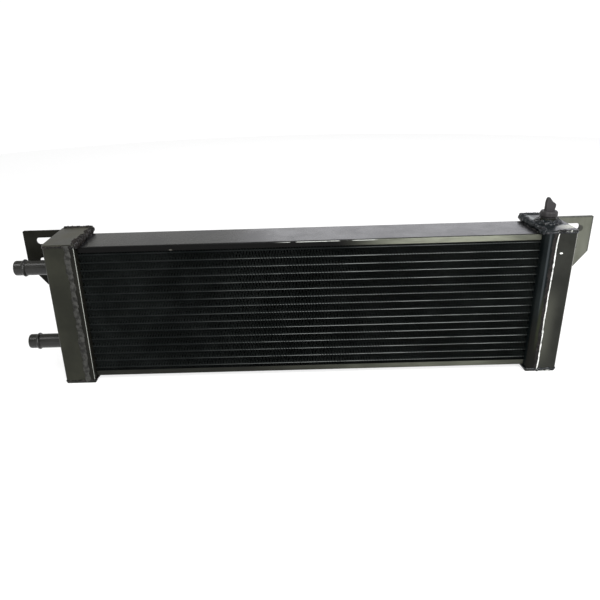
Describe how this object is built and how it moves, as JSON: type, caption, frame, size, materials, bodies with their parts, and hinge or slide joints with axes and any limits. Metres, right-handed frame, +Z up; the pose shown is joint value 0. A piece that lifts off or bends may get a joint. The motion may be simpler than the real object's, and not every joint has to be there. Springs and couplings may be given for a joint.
{
  "type": "hydraulic oil cooler",
  "caption": "Black welded oil cooler: flat tubes and folded fins between side plates, an end tank at each side, beaded hose stubs, slotted mounting brackets and a thumb-screw air bleed.",
  "frame": {"origin": "middle of the object's footprint, level with the undersides of the end tanks it stands on", "axes": "+X along the core towards the tank with the air bleed, +Y towards the back where the brackets are, +Z up"},
  "size_m": [0.758, 0.082, 0.2224],
  "materials": {
    "black_paint": "satin black paint over welded aluminium",
    "core_paint": "thin matt black paint on fin sheet",
    "tube_paint": "thin semi-gloss black paint on tube noses",
    "bleed_plastic": "moulded matt plastic",
    "seal_rubber": "matt rubber",
    "weld_metal": "painted weld bead, rough and a little shiny"
  },
  "bodies": {
    "cooler": {"tube_01": "tube_paint", "tube_02": "tube_paint", "tube_03": "tube_paint", "tube_04": "tube_paint", "tube_05": "tube_paint", "tube_06": "tube_paint", "tube_07": "tube_paint", "tube_08": "tube_paint", "tube_09": "tube_paint", "tube_10": "tube_paint", "tube_11": "tube_paint", "tube_12": "tube_paint", "tube_13": "tube_paint", "tube_14": "tube_paint", "tube_15": "tube_paint", "tube_16": "tube_paint", "fin_01": "core_paint", "fin_02": "core_paint", "fin_03": "core_paint", "fin_04": "core_paint", "fin_05": "core_paint", "fin_06": "core_paint", "fin_07": "core_paint", "fin_08": "core_paint", "fin_09": "core_paint", "fin_10": "core_paint", "fin_11": "core_paint", "fin_12": "core_paint", "fin_13": "core_paint", "fin_14": "core_paint", "fin_15": "core_paint", "fin_16": "core_paint", "fin_17": "core_paint", "side_plate_top": "black_paint", "side_plate_bottom": "black_paint", "header_left": "black_paint", "header_right": "black_paint", "tank_left": "black_paint", "tank_right": "black_paint", "tank_cap_top_left": "black_paint", "tank_cap_bottom_left": "black_paint", "tank_cap_top_right": "black_paint", "tank_cap_bottom_right": "black_paint", "pass_baffle": "black_paint", "hose_stub_upper": "black_paint", "hose_stub_lower": "black_paint", "bracket_left": "black_paint", "bracket_right": "black_paint", "bleed_bung": "black_paint"},
    "bleed_lift": {"bleed_seal": "seal_rubber"},
    "bleed_key": {"bleed_key": "bleed_plastic"}
  },
  "joints": [
    {"name": "bleed_lift", "type": "slide", "parent": "cooler", "child": "bleed_lift", "axis": [0, 0, 1], "range_m": [0, 0.003]},
    {"name": "bleed_turn", "type": "hinge", "parent": "bleed_lift", "child": "bleed_key", "pos_m": [0.3035, 0, 0.197], "axis": [0, 0, 1], "range_deg": [0, 720]}
  ],
  "couplings": [
    {"joint": "bleed_turn", "follows": "bleed_lift", "rad_per_m": 4188.8}
  ]
}
